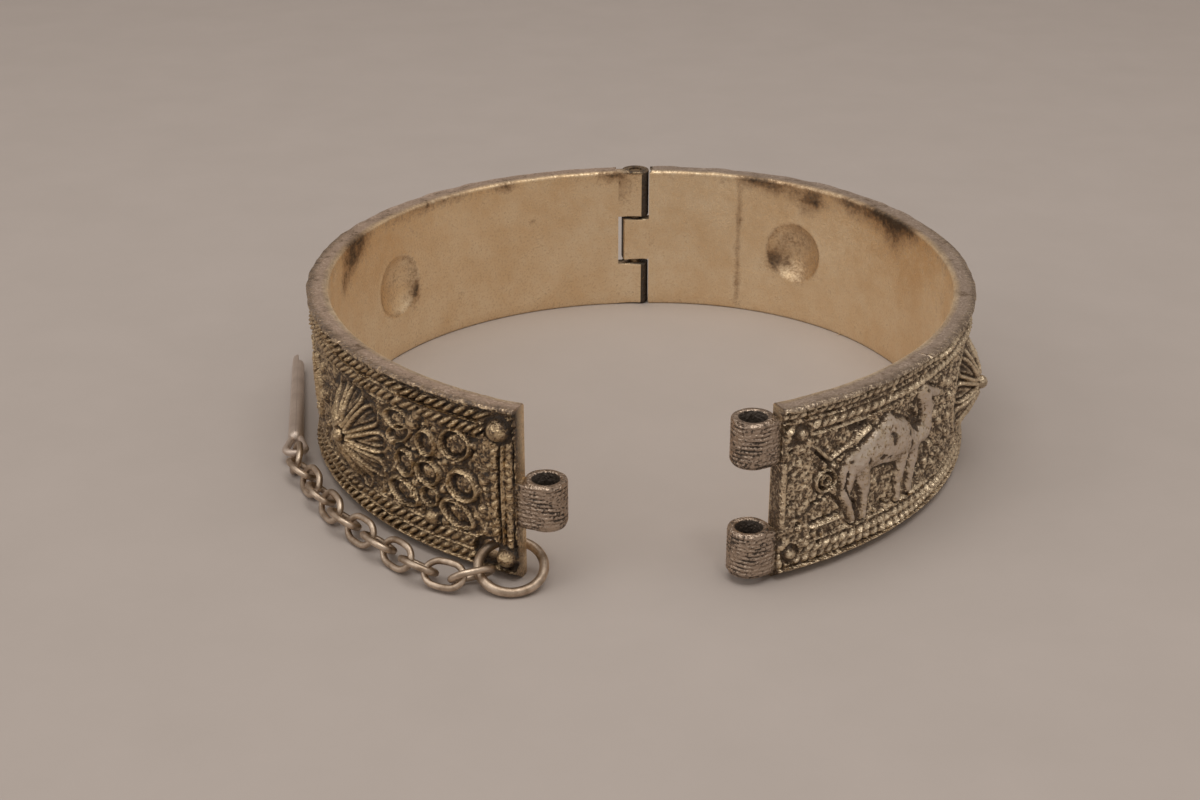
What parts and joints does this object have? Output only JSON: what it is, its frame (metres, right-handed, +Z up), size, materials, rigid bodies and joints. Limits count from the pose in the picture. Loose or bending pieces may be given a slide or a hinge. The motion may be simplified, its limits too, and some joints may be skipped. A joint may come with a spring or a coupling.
{
  "type": "hinged cuff bracelet",
  "caption": "Hinged cuff bracelet of cast silver with domed rosettes and roped rims, a barrel clasp, and a split pin on a chain",
  "frame": {"origin": "middle of the wrist opening, on the plane of the lower rim that the cuff rests on", "axes": "+Z up out of the wrist opening, +Y towards the hinge, +X towards the half with the camel"},
  "size_m": [0.0663, 0.0655, 0.0152],
  "materials": {
    "engraved_silver": "cast silver, worn bright on the relief and dark brown in the recesses; the inner face is pale satin gilt",
    "chain_silver": "polished rosy silver wire"
  },
  "bodies": {
    "left": {"left_half": "engraved_silver", "hinge_pin": "engraved_silver", "jump_ring": "chain_silver", "chain_link_01": "chain_silver", "chain_link_02": "chain_silver", "chain_link_03": "chain_silver", "chain_link_04": "chain_silver", "chain_link_05": "chain_silver", "chain_link_06": "chain_silver", "chain_link_07": "chain_silver", "chain_link_08": "chain_silver", "chain_link_09": "chain_silver", "chain_link_10": "chain_silver", "chain_link_11": "chain_silver", "chain_link_12": "chain_silver", "clasp_pin": "chain_silver"},
    "right": {"right_half": "engraved_silver"}
  },
  "joints": [
    {"name": "cuff_hinge", "type": "hinge", "parent": "left", "child": "right", "pos_m": [0, 0.03025, 0.0076], "axis": [0, 0, 1], "range_deg": [-12.5, 100]}
  ]
}
